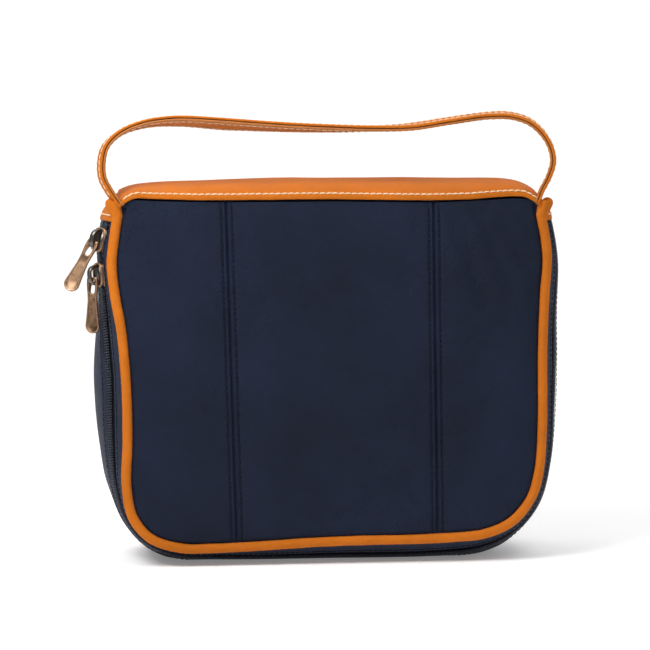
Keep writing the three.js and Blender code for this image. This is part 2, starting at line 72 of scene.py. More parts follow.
MID_LINE = [
    (-126, 205), (-130.6, 190), (-132, 152), (-134.6, 115), (-133.6, 85), (-130.5, 60), (-126.5, 42),
    (-118, 21), (-105, 6), (-90, -1.4), (-60, -3), (0, -3), (60, -3), (90, -1.4), (106, 6), (119, 21),
    (128, 42), (132, 60), (135, 85), (135.8, 115), (134, 152), (130.6, 190), (126, 205),
]
BACK_EDGE = [
    (-121, 205), (-124, 180), (-124, 120), (-122.5, 60), (-119.5, 38), (-112, 21), (-98, 8.5), (-80, 4.2),
    (0, 3), (80, 4.2), (98, 8.5), (112, 21), (119.5, 38), (122.5, 60), (124, 120), (124, 180), (121, 205),
]
PIPING_R, PIPING_Y = 2.85, 39.2
SEAM_Y, SEAM_INSET = 37, 2
ZIP_Y, MID_Y = -24, 3
LEATHER = 1.6
FACE_Y = -41
SIDE_TOP_Z = 202
DEPTHS = np.array([-SEAM_Y, ZIP_Y, MID_Y, SEAM_Y], float)
CORE = np.array([0.0, 0.0, 110.0])  # a point inside the bag, which tells outward from inward
FLOOR_GAP = 0.02  # what the bag stands on is pressed flat this far above the floor


def catmull_rom(points, per_segment=40, power=0.5):
    """Points along the Catmull-Rom curve, with knots spaced by distance to that power (0 is uniform)."""
    p = np.array(points, float)
    p = np.vstack([2 * p[0] - p[1], p, 2 * p[-1] - p[-2]])
    out = []
    for a, b, c, d in zip(p[:-3], p[1:-2], p[2:-1], p[3:]):
        t0, t1, t2 = (max(np.linalg.norm(v), 1e-6) ** power for v in (b - a, c - b, d - c))
        m1 = ((b - a) / t0 - (c - a) / (t0 + t1) + (c - b) / t1) * t1
        m2 = ((c - b) / t1 - (d - b) / (t1 + t2) + (d - c) / t2) * t1
        s = np.linspace(0, 1, per_segment, endpoint=False)[:, None]
        h = (2 * s**3 - 3 * s**2 + 1) * b + (s**3 - 2 * s**2 + s) * m1
        out.append(h + (-2 * s**3 + 3 * s**2) * c + (s**3 - s**2) * m2)
    return np.vstack([*out, p[-2]])


def distances_along(path):
    """Distance from a polyline's start to each of its points."""
    return np.concatenate([[0], np.cumsum(np.linalg.norm(np.diff(path, axis=0), axis=1))])


def unit(v):
    return v / (np.linalg.norm(v, axis=-1, keepdims=True) + 1e-12)


def dot(a, b):
    return np.sum(a * b, -1, keepdims=True)


def with_y(xz, y):
    """Points of the XZ plane moved to a depth, or to one depth each."""
    return np.stack([xz[..., 0], np.broadcast_to(y, xz.shape[:-1]), xz[..., 1]], -1)


class Outline:
    """A U-shaped curve in the XZ plane, read at shares of its length."""

    def __init__(self, points):
        self.p = catmull_rom(points)
        self.s = distances_along(self.p)
        self.length = self.s[-1]
        self.s = self.s / self.length

    def at(self, u):
        u = np.clip(u, 0, 1)
        return np.stack([np.interp(u, self.s, self.p[:, k]) for k in (0, 1)], -1)

    def outward(self, u, reach=0.004):
        d = self.at(np.minimum(u + reach, 1)) - self.at(np.maximum(u - reach, 0))
        n = np.stack([d[..., 1], -d[..., 0]], -1)
        return n / np.linalg.norm(n, axis=-1, keepdims=True)

    def inset(self, u, amount):
        return self.at(u) - self.outward(u) * amount

    def share_at_height(self, z, left):
        half = self.s < 0.35 if left else self.s > 0.65
        heights, shares = self.p[half, 1], self.s[half]
        order = np.argsort(heights)
        return float(np.interp(z, heights[order], shares[order]))


front_edge, zip_line, mid_line, back_edge = map(Outline, (FRONT_EDGE, ZIP_LINE, MID_LINE, BACK_EDGE))
U0 = zip_line.share_at_height(SIDE_TOP_Z, True)
U1 = zip_line.share_at_height(SIDE_TOP_Z, False)


def depth_table():
    """Weights of the four outlines at each depth, from the uniform spline through their depths."""
    basis = catmull_rom(np.hstack([np.eye(4), DEPTHS[:, None]]), 200, power=0)
    return basis[:, 4], basis[:, :4]


TABLE_Y, TABLE_W = depth_table()


def side(u, y, inset=0.0):
    """Points of the sides and bottom at shares u and depths y, sunk below the outer surface by inset."""
    u, y = np.broadcast_arrays(np.asarray(u, float), np.asarray(y, float))
    through = [
        front_edge.inset(u, SEAM_INSET), zip_line.at(u), mid_line.at(u), back_edge.inset(u, SEAM_INSET),
    ]
    xz = sum(np.interp(y, TABLE_Y, TABLE_W[:, k])[..., None] * through[k] for k in range(4))
    xz = xz - zip_line.outward(u) * inset
    z = np.maximum(xz[..., 1], inset)
    return np.stack([xz[..., 0], y, z], -1)


# ---------- materials ----------
class Nodes:
    """A small helper that adds shader nodes and links them."""

    def __init__(self, name):
        self.material = bpy.data.materials.new(name)
        self.material.use_nodes = True
        self.tree = self.material.node_tree
        self.shader = self.tree.nodes["Principled BSDF"]
        self.place = self.add("TexCoord").outputs["Object"]

    def add(self, kind, **inputs):
        node = self.tree.nodes.new("ShaderNode" + kind)
        for key, value in inputs.items():
            socket = node.inputs[int(key[1:]) if key[1:].isdigit() else key.replace("_", " ")]
            self.put(socket, value)
        return node

    def put(self, socket, value):
        if isinstance(value, bpy.types.NodeSocket):
            self.tree.links.new(value, socket)
        else:
            socket.default_value = value

    def surface(self, **inputs):
        """Sets or links inputs of the surface shader."""
        for key, value in inputs.items():
            self.put(self.shader.inputs[key.replace("_", " ")], value)

    def noise(self, scale, detail=3.0, roughness=0.5, vector=None, distortion=0.0):
        node = self.add("TexNoise", Vector=vector or self.place, Scale=scale, Detail=detail,
                        Roughness=roughness, Distortion=distortion)
        return node.outputs["Fac"]

    def cell_edges(self, vector, scale):
        """Distance to the nearest edge between cells."""
        node = self.add("TexVoronoi", Vector=vector, Scale=scale)
        node.feature = "DISTANCE_TO_EDGE"
        return node.outputs["Distance"]

    def math(self, operation, a, b=0.0, c=0.0):
        node = self.add("Math", i0=a, i1=b, i2=c)
        node.operation = operation
        return node.outputs[0]

    def ranged(self, value, low, high, to_low, to_high):
        node = self.add("MapRange", Value=value, From_Min=low, From_Max=high, To_Min=to_low,
                        To_Max=to_high)
        return node.outputs[0]

    def mix(self, factor, a, b, blend="MIX"):
        node = self.add("Mix")
        node.data_type = "RGBA"
        node.blend_type = blend
        self.put(node.inputs["Factor"], factor)
        self.put(node.inputs[6], a)
        self.put(node.inputs[7], b)
        return node.outputs[2]

    def bump(self, height, strength, distance, normal=None):
        node = self.add("Bump", Height=height, Strength=strength, Distance=distance)
        if normal is not None:
            self.put(node.inputs["Normal"], normal)
        return node.outputs["Normal"]


def shade(colour, factor):
    return (colour[0] * factor, colour[1] * factor, colour[2] * factor, 1)


def leather(name, colour, rough, grain=0.00075, relief=0.35, mottle=0.16, spec=0.45, veins=0.0):
    """Full-grain leather: pebbled cells, pores, soft mottling, fine creases and, here and there, veins."""
    n = Nodes(name)
    pebble = n.ranged(n.cell_edges(n.place, 1 / grain), 0.0, 0.28, 0.0, 1.0)
    pores = n.noise(2.6 / grain, 2.0, 0.6)
    folds = n.noise(95, 4.0, 0.62, distortion=1.2)
    fine = n.bump(n.math("MULTIPLY_ADD", pores, 0.45, pebble), relief, 0.00017)
    wander = n.add("TexNoise", Vector=n.place, Scale=70.0, Detail=3.0).outputs["Color"]
    moved = n.add("VectorMath", i0=wander, i1=(0.012, 0.012, 0.012), i2=n.place)
    moved.operation = "MULTIPLY_ADD"
    lines = n.ranged(n.cell_edges(moved.outputs[0], 95.0), 0.0, 0.05, 1.0, 0.0)
    here = n.ranged(n.noise(13, 2.0), 0.50, 0.62, 0.0, veins)
    folds = n.math("MULTIPLY_ADD", n.math("MULTIPLY", lines, here), -1.1, folds)
    n.surface(Normal=n.bump(folds, 0.30, 0.0012, fine))
    broad = n.noise(17, 3.0, 0.55)
    middle = n.noise(160, 3.0, 0.6)
    tone = n.ranged(n.math("MULTIPLY_ADD", middle, 0.35, broad), 0.45, 0.9, 0.0, 1.0)
    tinted = n.mix(tone, shade(colour, 1 - mottle), shade(colour, 1 + mottle))
    # painted shade: the base colour darkens towards the edges of the pebbled cells, in the grain's crevices
    crevice_shade = n.ranged(pebble, 0.0, 0.6, 0.22, 0.0)
    n.surface(Base_Color=n.mix(crevice_shade, tinted, shade(colour, 0.55)))
    n.surface(Roughness=n.ranged(middle, 0.3, 0.7, rough - 0.06, rough + 0.07), Specular_IOR_Level=spec)
    return n.material


def thread(name, colour):
    """Waxed sewing thread: twisted plies seen as slanted ridges."""
    n = Nodes(name)
    turned = n.add("Mapping", Vector=n.place, Rotation=(0.6, 0.5, 0.7))
    plies = n.add("TexWave", Vector=turned.outputs[0], Scale=900.0, Distortion=1.0)
    n.surface(Normal=n.bump(plies.outputs["Fac"], 0.5, 0.00008))
    fuzz = n.noise(2500, 2.0)
    n.surface(Base_Color=n.mix(fuzz, shade(colour, 0.82), shade(colour, 1.08)))
    n.surface(Roughness=n.ranged(fuzz, 0.2, 0.8, 0.5, 0.75))
    n.surface(Specular_IOR_Level=0.15)
    return n.material


def woven(name, colour, pitch=0.0006, relief=0.5, rough=0.8, sheen=0.2):
    """Plain-weave cloth: two crossing sets of yarns in each plane."""
    n = Nodes(name)
    sets = []
    for axis in ("X", "Y", "Z"):
        wave = n.add("TexWave", Vector=n.place, Scale=0.314 / pitch, Distortion=0.6, Detail=1.0)
        wave.bands_direction = axis
        sets.append(wave.outputs["Fac"])
    weave = n.math("MULTIPLY", n.math("MAXIMUM", sets[0], sets[1]), sets[2])
    n.surface(Normal=n.bump(weave, relief, 0.00012))
    tone = n.noise(60, 4.0, 0.6)
    yarn = n.mix(tone, shade(colour, 0.8), shade(colour, 1.2))
    # painted shade: the colour darkens between the yarns, where the weave is low
    n.surface(Base_Color=n.mix(n.ranged(weave, 0, 1, 0.45, 0), yarn, shade(colour, 0.4)))
    n.surface(Roughness=n.ranged(tone, 0.3, 0.7, rough - 0.08, rough + 0.08))
    n.surface(Sheen_Weight=sheen, Specular_IOR_Level=0.15)
    return n.material


def plastic(name, colour, rough):
    """Moulded nylon with a faint haze."""
    n = Nodes(name)
    haze = n.noise(700, 3.0, 0.6)
    n.surface(Base_Color=n.mix(haze, shade(colour, 0.8), shade(colour, 1.25)))
    n.surface(Roughness=n.ranged(haze, 0.3, 0.7, rough - 0.08, rough + 0.1))
    n.surface(Normal=n.bump(haze, 0.2, 0.00003))
    n.surface(Specular_IOR_Level=0.5)
    return n.material


def metal(name, colour, dark, rough, wear=0.5):
    """Antiqued plating: dark in the hollows, rubbed bright on the high places, finely scratched."""
    n = Nodes(name)
    stretched = n.add("Mapping", Vector=n.place, Scale=(1, 1, 0.12))
    scratches = n.noise(5200, 2.0, 0.7, stretched.outputs[0])
    patches = n.noise(420, 4.0, 0.65)
    edges = n.add("NewGeometry").outputs["Pointiness"]
    rubbed = n.ranged(edges, 0.44, 0.54, 0.0, 1.0)
    rubbed = n.math("MULTIPLY_ADD", n.ranged(patches, 0.35, 0.7, 0.0, 1.0), wear, rubbed)
    rubbed = n.ranged(rubbed, 0.2, 1.0, 0.0, 1.0)
    n.surface(Base_Color=n.mix(rubbed, shade(dark, 1), shade(colour, 1)))
    n.surface(Metallic=1.0)
    n.surface(Roughness=n.ranged(patches, 0.3, 0.7, rough - 0.06, rough + 0.14))
    n.surface(Normal=n.bump(scratches, 0.12, 0.00004))
    return n.material


NAVY = leather("navy_leather", (0.0078, 0.0128, 0.0300), 0.54, 0.0009, 0.85, 0.30, 0.12, 1.0)
NAVY_SIDE = leather("navy_side_leather", (0.0120, 0.0175, 0.0370), 0.56, 0.0008, 0.34, 0.16, 0.22)
TAN = leather("tan_leather", (0.53, 0.142, 0.012), 0.62, 0.0007, 0.26, 0.16, 0.06)
TAN_FLESH = leather("tan_leather_underside", (0.44, 0.155, 0.040), 0.72, 0.0005, 0.45, 0.16, 0.25)
EDGE_DARK = leather("burnished_edge", (0.045, 0.014, 0.005), 0.6, 0.0004, 0.2, 0.2, 0.1)
NAVY_THREAD = thread("navy_thread", (0.0035, 0.0038, 0.0085))
PALE_THREAD = thread("pale_thread", (0.84, 0.68, 0.47))
TAPE = woven("zip_tape_weave", (0.0030, 0.0045, 0.011), 0.0005, 0.5, 0.85, 0.0)
COIL = plastic("zip_coil_nylon", (0.0060, 0.0095, 0.024), 0.34)
LINING = woven("lining_weave", (0.060, 0.066, 0.085), 0.0005, 0.45, 0.7)
NET = woven("net_yarn", (0.035, 0.038, 0.050), 0.0004, 0.4, 0.7)
ELASTIC = woven("elastic_weave", (0.025, 0.028, 0.040), 0.0010, 0.8, 0.8)
HIDDEN = woven("hidden_padding", (0.45, 0.42, 0.36), 0.0010, 0.3, 0.9)
COPPER = metal("antique_copper_plate", (0.40, 0.245, 0.15), (0.070, 0.040, 0.024), 0.40, 0.45)
GUNMETAL = metal("gunmetal_plate", (0.15, 0.135, 0.12), (0.02, 0.018, 0.016), 0.34, 0.4)


# ---------- mesh building ----------
def add_object(name, data):
    ob = bpy.data.objects.new(name, data)
    bpy.context.scene.collection.objects.link(ob)
    return ob


def mesh_object(name, vertices, faces, material):
    """A smooth-shaded mesh object from points in millimetres."""
    mesh = bpy.data.meshes.new(name)
    mesh.from_pydata((np.asarray(vertices, float) * MM).tolist(), [], faces)
    mesh.validate()
    mesh.update()
    bm = bmesh.new()
    bm.from_mesh(mesh)
    bmesh.ops.recalc_face_normals(bm, faces=bm.faces)
    bm.to_mesh(mesh)
    bm.free()
    mesh.shade_smooth()
    mesh.materials.append(material)
    return add_object(name, mesh)


def grid_faces(rows, columns, base=0, wrap=False):
    """Quads between neighbouring points of a grid. wrap joins each row's last point to its first."""
    faces = []
    for i in range(rows - 1):
        for j in range(columns if wrap else columns - 1):
            here, after = (base + i * columns + k for k in (j, (j + 1) % columns))
            faces.append([here, after, after + columns, here + columns])
    return faces


def tube_faces(rows, sides, base=0, cap=True):
    """Faces round closed loops joined one after another."""
    faces = grid_faces(rows, sides, base, wrap=True)
    if cap:
        last = base + (rows - 1) * sides
        faces += [[base + k for k in range(sides)][::-1], [last + k for k in range(sides)]]
    return faces


def swept(sections, cap=True):
    """Vertices and faces of closed section loops, rows x sides x 3, joined one after another."""
    sections = np.asarray(sections, float)
    rows, sides, _ = sections.shape
    return sections.reshape(-1, 3), tube_faces(rows, sides, cap=cap)


def sheet_solid(outer, inner, round_steps=2):
    """A sheet between two grids of points, rows x columns x 3, with rounded long edges: one closed body."""
    outer, inner = np.asarray(outer, float), np.asarray(inner, float)
    bulge_a, bulge_b = [], []
    half = np.linalg.norm(outer - inner, axis=-1, keepdims=True) / 2
    for first, second, store in ((0, 1, bulge_a), (-1, -2, bulge_b)):
        away = outer[:, first] - outer[:, second]
        away /= np.linalg.norm(away, axis=-1, keepdims=True) + 1e-9
        for k in range(1, round_steps + 1):
            angle = math.pi * k / (round_steps + 1)
            middle = (outer[:, first] + inner[:, first]) / 2
            across = (outer[:, first] - inner[:, first]) / 2
            store.append(middle + across * math.cos(angle) + away * half[:, first] * math.sin(angle) * 0.8)
    loop = [outer, *[b[:, None] for b in bulge_b], inner[:, ::-1], *[b[:, None] for b in bulge_a[::-1]]]
    return swept(np.concatenate(loop, axis=1))


def tube(name, path, radius, material, hint, sides=20, squeeze=1.0, cap=True):
    """A round or oval tube. hint points across the path, and squeeze scales the radius square to it."""
    path = np.asarray(path, float)
    tangent = unit(np.gradient(path, axis=0))
    normal = unit(hint - tangent * dot(hint, tangent))
    across = np.cross(tangent, normal)
    radius = np.broadcast_to(np.asarray(radius, float), len(path))[:, None, None]
    squeeze = np.broadcast_to(np.asarray(squeeze, float), len(path))[:, None, None]
    a = np.linspace(0, 2 * math.pi, sides, endpoint=False)[None, :, None]
    ring = path[:, None] + radius * (np.cos(a) * normal[:, None] + np.sin(a) * squeeze * across[:, None])
    return mesh_object(name, *swept(ring, cap), material)


def points_at(path, distances):
    """Points of a polyline at given distances from its start."""
    s = distances_along(path)
    return np.stack([np.interp(distances, s, path[:, k]) for k in range(path.shape[1])], -1)


def resample(path, spacing):
    """Points at an even spacing along a polyline."""
    length = distances_along(path)[-1]
    return points_at(path, np.linspace(0, length, max(2, int(round(length / spacing)) + 1)))


def resample_loop(loop, count):
    """Evenly spaced points round a closed loop."""
    closed = np.vstack([loop, loop[:1]])
    return points_at(closed, np.linspace(0, distances_along(closed)[-1], count, endpoint=False))


def circle(count):
    """Angles evenly spaced round a circle."""
    return [2 * math.pi * k / count for k in range(count)]


# A stitch: share along its length, share of its full width, and height over the surface in radii.
STITCH_PROFILE = [
    (-0.5, 0.25, -0.55), (-0.40, 0.85, 0.10), (-0.2, 1.0, 0.62), (0.0, 1.0, 0.75), (0.2, 1.0, 0.62),
    (0.40, 0.85, 0.10), (0.5, 0.25, -0.55),
]
STITCH_SIDES = 8
STITCH_FLATTEN = 0.8


def stitches(name, path, normals, material, pitch=3.6, length=2.9, radius=0.38, slant=0.0):
    """A row of sewn stitches lying on a surface along a path, as one mesh."""
    path, normals = np.asarray(path, float), np.asarray(normals, float)
    dense = np.concatenate([path, np.broadcast_to(normals, path.shape)], axis=1)
    s = distances_along(path)
    count = int(s[-1] / pitch)
    start = (s[-1] - count * pitch) / 2
    vertices, faces = [], []
    for k in range(count):
        middle = start + (k + 0.5) * pitch + random.uniform(-0.05, 0.05) * pitch
        at = np.array([np.interp([middle - 0.5, middle, middle + 0.5], s, dense[:, c]) for c in range(6)])
        centre, n = at[:3, 1], unit(at[3:, 1])
        t = unit(at[:3, 2] - at[:3, 0])
        t = unit(t + np.cross(n, t) * (slant + random.uniform(-0.03, 0.03)))
        b = np.cross(n, t)
        faces += tube_faces(len(STITCH_PROFILE), STITCH_SIDES, len(vertices))
        for along, wide, lift in STITCH_PROFILE:
            c = centre + t * along * length + n * lift * radius
            for a in circle(STITCH_SIDES):
                ring = math.cos(a) * b + STITCH_FLATTEN * math.sin(a) * n
                vertices.append(c + wide * radius * ring)
    vertices = np.array(vertices)
    vertices[:, 2] = np.maximum(vertices[:, 2], FLOOR_GAP)
    return mesh_object(name, vertices, faces, material)


def placed(ob, body, slot, *nodes):
    """Rides a body and stands for CAD nodes, which it hides. slot is not used."""
    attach(ob, body)
    if nodes:
        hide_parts(*nodes)
    return ob


def bevelled(ob, width, segments=2):
    """Rounds the edges that turn by more than 40 degrees."""
    rounding = ob.modifiers.new("rounded_edges", "BEVEL")
    rounding.width = width * MM
    rounding.segments = segments
    rounding.limit_method = "ANGLE"
    rounding.angle_limit = math.radians(40)
    return ob


def wobble(points, size, amount, seed=0.0):
    """Smooth random values, one per point, between about -amount and amount."""
    flat = np.asarray(points, float).reshape(-1, 3)
    shift = Vector((seed * 13.1, seed * 7.7, seed * 3.3))
    values = [noise.noise(Vector(p) / size + shift) for p in flat]
    return amount * np.array(values).reshape(np.asarray(points).shape[:-1])


# ---------- front lid: three panels between the piping ----------
FACE_INSET = 2 * PIPING_R - 1.0
PANEL_TOP_Z = 207.3
FRONT_SEED = 1.0
SEAMS = ((-59.6, -53.6), (58.3, 61.5))  # X at the top and at the bottom of each seam


def corner_share(edge, left):
    """Share of an outline where its lower corner points at 45 degrees."""
    u = np.linspace(0.02, 0.5, 400) if left else np.linspace(0.5, 0.98, 400)
    n = edge.outward(u)
    return float(u[np.argmin(np.abs(np.abs(n[:, 0]) - np.abs(n[:, 1])) + (n[:, 1] > 0))])


def bottom_share(edge, x):
    u = np.linspace(corner_share(edge, True), corner_share(edge, False), 400)
    return float(np.interp(x, edge.inset(u, FACE_INSET)[:, 0], u))


def seam_x(seam, z):
    return seam[1] + (seam[0] - seam[1]) * np.clip(z / PANEL_TOP_Z, 0, 1)


def clustered(n, pull=0.75):
    """Shares from 0 to 1 that crowd towards both ends."""
    t = np.linspace(0, 1, n)
    return (1 - pull) * t + pull * (0.5 - 0.5 * np.cos(math.pi * t))


def coons(left, right, top, bottom, s, t):
    """Points inside four boundary curves, each given as a function of its share."""
    s, t = np.asarray(s)[None, :, None], np.asarray(t)[:, None, None]
    sl, tl = s[0, :, 0], t[:, 0, 0]
    a, b, c, d = left(tl)[:, None], right(tl)[:, None], top(sl)[None], bottom(sl)[None]
    corners = ((1 - s) * (1 - t) * left(np.array([0.0]))[0] + s * (1 - t) * right(np.array([0.0]))[0]
               + (1 - s) * t * left(np.array([1.0]))[0] + s * t * right(np.array([1.0]))[0])
    return (1 - s) * a + s * b + (1 - t) * c + t * d - corners


def outline_between(edge, u0, u1, inset):
    return lambda t: edge.inset(u0 + (u1 - u0) * np.asarray(t), inset)


def line_between(a, b):
    a, b = np.array(a, float), np.array(b, float)
    return lambda t: a + (b - a) * np.asarray(t)[:, None]


def distance_to(points, polyline):
    """Distance in the face's plane from each point to a polyline."""
    flat = points.reshape(-1, 2)
    best = np.full(len(flat), 1e9)
    for a, b in zip(polyline[:-1], polyline[1:]):
        ab = b - a
        t = np.clip(((flat - a) @ ab) / (ab @ ab + 1e-12), 0, 1)
        best = np.minimum(best, np.linalg.norm(flat - a - t[:, None] * ab, axis=1))
    return best.reshape(points.shape[:-1])


# Soft creases in the leather: from, to, depth, width, all in millimetres.
CREASES = [
    ((72, 196), (88, 150), 0.45, 5), ((84, 199), (104, 158), 0.35, 4), ((96, 196), (112, 172), 0.35, 3.5),
    ((66, 150), (84, 118), 0.3, 6), ((-112, 186), (-98, 160), 0.3, 5), ((-106, 150), (-86, 128), 0.28, 6),
    ((-40, 34), (-12, 22), 0.35, 7), ((20, 26), (54, 38), 0.35, 7), ((-112, 44), (-96, 26), 0.45, 6),
    ((96, 40), (112, 58), 0.45, 6), ((-30, 196), (-22, 168), 0.22, 7), ((30, 190), (42, 160), 0.22, 7),
]


def edge_lift(x):
    """How far the front edge of the top rises or dips along its length."""
    return np.interp(x, (-113, -102, -74, -40, 0, 56, 79, 90, 102, 110, 118),
                     (1.4, 0.7, -0.2, 0.0, 0.3, -0.5, 0.0, 0.9, 1.7, 1.6, 1.2))


def relief(xz, seams, edge_line, seed):
    """How far a face stands out at each point: puffed, sunk at seams and piping, with soft creases."""
    out = np.zeros(xz.shape[:-1])
    to_edge = distance_to(xz, edge_line)
    out -= 2.4 * np.exp(-((to_edge / 1.7) ** 2)) + 0.9 * np.exp(-((to_edge / 9.0) ** 2))
    for seam in seams:
        d = np.abs(xz[..., 0] - seam_x(seam, xz[..., 1]))
        out -= 1.25 * np.exp(-((d / 0.75) ** 2)) + 0.45 * np.exp(-(((d - 3.0) / 0.8) ** 2))
        out -= 0.35 * np.exp(-((d / 7.0) ** 2))
    to_top = PANEL_TOP_Z - xz[..., 1]
    out -= 0.7 * np.exp(-((to_top / 5.0) ** 2))
    for a, b, depth, width in CREASES:
        d = distance_to(xz, np.array([a, b], float))
        out -= depth * np.exp(-((d / width) ** 2)) - 0.5 * depth * np.exp(-(((d - 1.8 * width) / width) ** 2))
    where = with_y(xz, seed)
    out += wobble(where, 46.0, 0.75, seed) + wobble(where, 15.0, 0.16, seed + 1)
    return out + 1.0


def face_panel(name, boundary, s_count, t_count, seams, edge_line, sign, seed):
    """A leather panel on a face: sign is -1 for the front and 1 for the back."""
    y = -sign * FACE_Y
    xz = coons(*boundary, clustered(s_count), clustered(t_count, 0.6))
    if sign < 0:
        xz[..., 1] += edge_lift(xz[..., 0]) * np.clip((xz[..., 1] - 180) / 27, 0, 1) ** 2
    outer = with_y(xz, y + sign * relief(xz, seams, edge_line, seed))
    return mesh_object(name, *sheet_solid(outer, with_y(xz, y - sign * LEATHER * 0.9)), NAVY)


def side_edge(edge, u_top, u_bottom, x_top, z_top):
    """A face's side, from its top corner down to the middle of a lower corner."""
    def curve(t):
        t = np.asarray(t)
        p = edge.inset(u_top + (u_bottom - u_top) * np.clip((t - 0.03) / 0.97, 0, 1), FACE_INSET)
        lift = np.clip((0.03 - t) / 0.03, 0, 1)[:, None]
        return p * (1 - lift) + np.array([x_top, z_top]) * lift
    return curve


def face_sides(edge, top_z, drop):
    """A face's left and right sides, their X at the top, and the outline's shares at its lower corners."""
    corners = [corner_share(edge, left) for left in (True, False)]
    tops = [edge.share_at_height(top_z - drop, left) for left in (True, False)]
    top_x = [edge.inset(u, FACE_INSET)[0] for u in tops]
    return [side_edge(edge, u, v, x, top_z) for u, v, x in zip(tops, corners, top_x)], top_x, corners


edge_line = front_edge.inset(np.linspace(0, 1, 240), FACE_INSET)
(left_side, right_side), (left_x, right_x), corners = face_sides(front_edge, PANEL_TOP_Z, 6)
feet_shares = [bottom_share(front_edge, seam[1]) for seam in SEAMS]
feet = [front_edge.inset(share, FACE_INSET) for share in feet_shares]
heads = [np.array([seam[0], PANEL_TOP_Z]) for seam in SEAMS]
# The panels' uprights from left to right, where they meet the top, and their shares along the bottom.
uprights = [left_side, *(line_between(head, foot) for head, foot in zip(heads, feet)), right_side]
tops = [(left_x, PANEL_TOP_Z), *heads, (right_x, PANEL_TOP_Z)]
bottoms = [corners[0], *feet_shares, corners[1]]
for k, (label, columns) in enumerate((("left", 110), ("centre", 150), ("right", 105))):
    node = f"front_{label}_panel"
    boundary = (uprights[k], uprights[k + 1], line_between(tops[k], tops[k + 1]),
                outline_between(front_edge, bottoms[k], bottoms[k + 1], FACE_INSET))
    ob = face_panel(node + "_leather", boundary, columns, 170, SEAMS, edge_line, -1, FRONT_SEED)
    placed(ob, "lid", "navy_leather", node)


def face_point(x, z, lift):
    """A point on the front face's leather."""
    xz = np.stack([np.asarray(x, float), np.asarray(z, float)], -1)
    return with_y(xz, FACE_Y - relief(xz, SEAMS, edge_line, FRONT_SEED) - lift)


FRONT = np.array([0.0, -1.0, 0.0])
for k, (seam, foot) in enumerate(zip(SEAMS, feet)):
    z = np.linspace(foot[1] + 1.5, PANEL_TOP_Z - 1.5, 160)
    for label, off in (("left", -3.0), ("right", 3.0)):
        path = face_point(seam_x(seam, z) + off, z, 0.02)
        ob = stitches(f"seam_{k}_{label}_topstitch", path, FRONT, NAVY_THREAD, 3.0, 2.45, 0.34)
        placed(ob, "lid", "navy_leather")


# ---------- piping ----------
def piping(name, edge, y, top_rise, flare, seed):
    """The leather-covered cord round a face. Its ends rise to the top corners and widen there."""
    steps = 14  # points in each rising end
    u = np.linspace(edge.share_at_height(200, True), edge.share_at_height(200, False), 420)
    path = with_y(edge.inset(u, PIPING_R), y)
    rise = np.linspace(1, 0, steps, endpoint=False)[:, None] ** 1.2
    top_rise = np.array(top_rise)
    path = np.vstack([path[0] + top_rise * (-1, 1, 1) * rise, path, path[-1] + top_rise * rise[::-1]])
    path[:, 1] += wobble(path, 40.0, 0.25, seed)
    along = np.linspace(0, 1, len(path))
    near = np.clip(1 - np.minimum(along, 1 - along) * len(path) / 16, 0, 1)
    radius = PIPING_R * (1 + 0.02 * np.sin(along * 900) + wobble(path, 9.0, 0.05, seed + 2))
    radius = radius * (1 + flare * near**1.5)
    outward = np.vstack([[(-1, 0, 0)] * steps, with_y(edge.outward(u), 0), [(1, 0, 0)] * steps])
    return tube(name, path, radius, TAN, outward, sides=22)


front_piping = piping("front_piping_leather", front_edge, -PIPING_Y, (2.0, 1.2, 8.0), 0.35, 3.0)
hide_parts("front_piping")
back_piping = piping("back_piping_leather", back_edge, PIPING_Y, (-1.0, -1.0, 8.5), 0.05, 5.0)
placed(back_piping, "bag", "tan_leather", "back_piping")
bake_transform(front_piping)


# ---------- sides and bottom ----------
def side_patch(name, u0, u1, y0, y1, rows, columns, thick, material, body, slot, node, swell=None, sink=0.0):
    """A leather or cloth strip of the sides and bottom. swell gives how far it puffs out at each point."""
    u = np.linspace(u0, u1, rows)[:, None]
    y = np.linspace(y0, y1, columns)[None, :]
    outer = side(u, y, sink)
    normal = unit(np.cross(np.gradient(outer, axis=0), np.gradient(outer, axis=1)))
    normal *= np.sign(dot(normal, outer - CORE) + 1e-9)
    if swell is not None:
        outer = outer + normal * swell(y, outer)[..., None]
    inner = outer - normal * thick
    on_floor = outer[..., 2] < 0.05
    outer[..., 2] = np.maximum(outer[..., 2], FLOOR_GAP)
    inner[..., 2] = np.maximum(inner[..., 2], np.where(on_floor, thick, 0.3))
    placed(mesh_object(name, *sheet_solid(outer, inner), material), body, slot, node)


STRIP_TO_ZIP = 5.4


def strip_swell(y, p):
    t = (y + SEAM_Y) / (SEAM_Y + ZIP_Y - STRIP_TO_ZIP)
    return 0.35 * np.sin(np.pi * np.clip(t, 0, 1)) + wobble(p, 14.0, 0.12, 4.0)


def gusset_swell(y, p):
    start = ZIP_Y + STRIP_TO_ZIP
    t = np.clip((y - start) / (SEAM_Y - start), 0, 1)
    lip = -0.7 * np.exp(-((t / 0.035) ** 2)) - 0.9 * np.exp(-(((1 - t) / 0.05) ** 2))
    soft = wobble(p, 52.0, 1.5, 6.0) + wobble(p, 19.0, 0.35, 7.0)
    on_floor = np.clip(p[..., 2] / 6.0, 0, 1)
    return (lip + soft * np.sin(np.pi * t) ** 0.6) * on_floor


side_patch("front_gusset_leather", U0, U1, -SEAM_Y - 0.6, ZIP_Y - STRIP_TO_ZIP, 380, 9, LEATHER, NAVY_SIDE,
           "lid", "navy_leather", "front_gusset_strip", strip_swell)
side_patch("rear_gusset_leather", U0, U1, ZIP_Y + STRIP_TO_ZIP, SEAM_Y + 0.6, 300, 46, LEATHER, NAVY_SIDE,
           "bag", "navy_leather", "rear_gusset", gusset_swell)

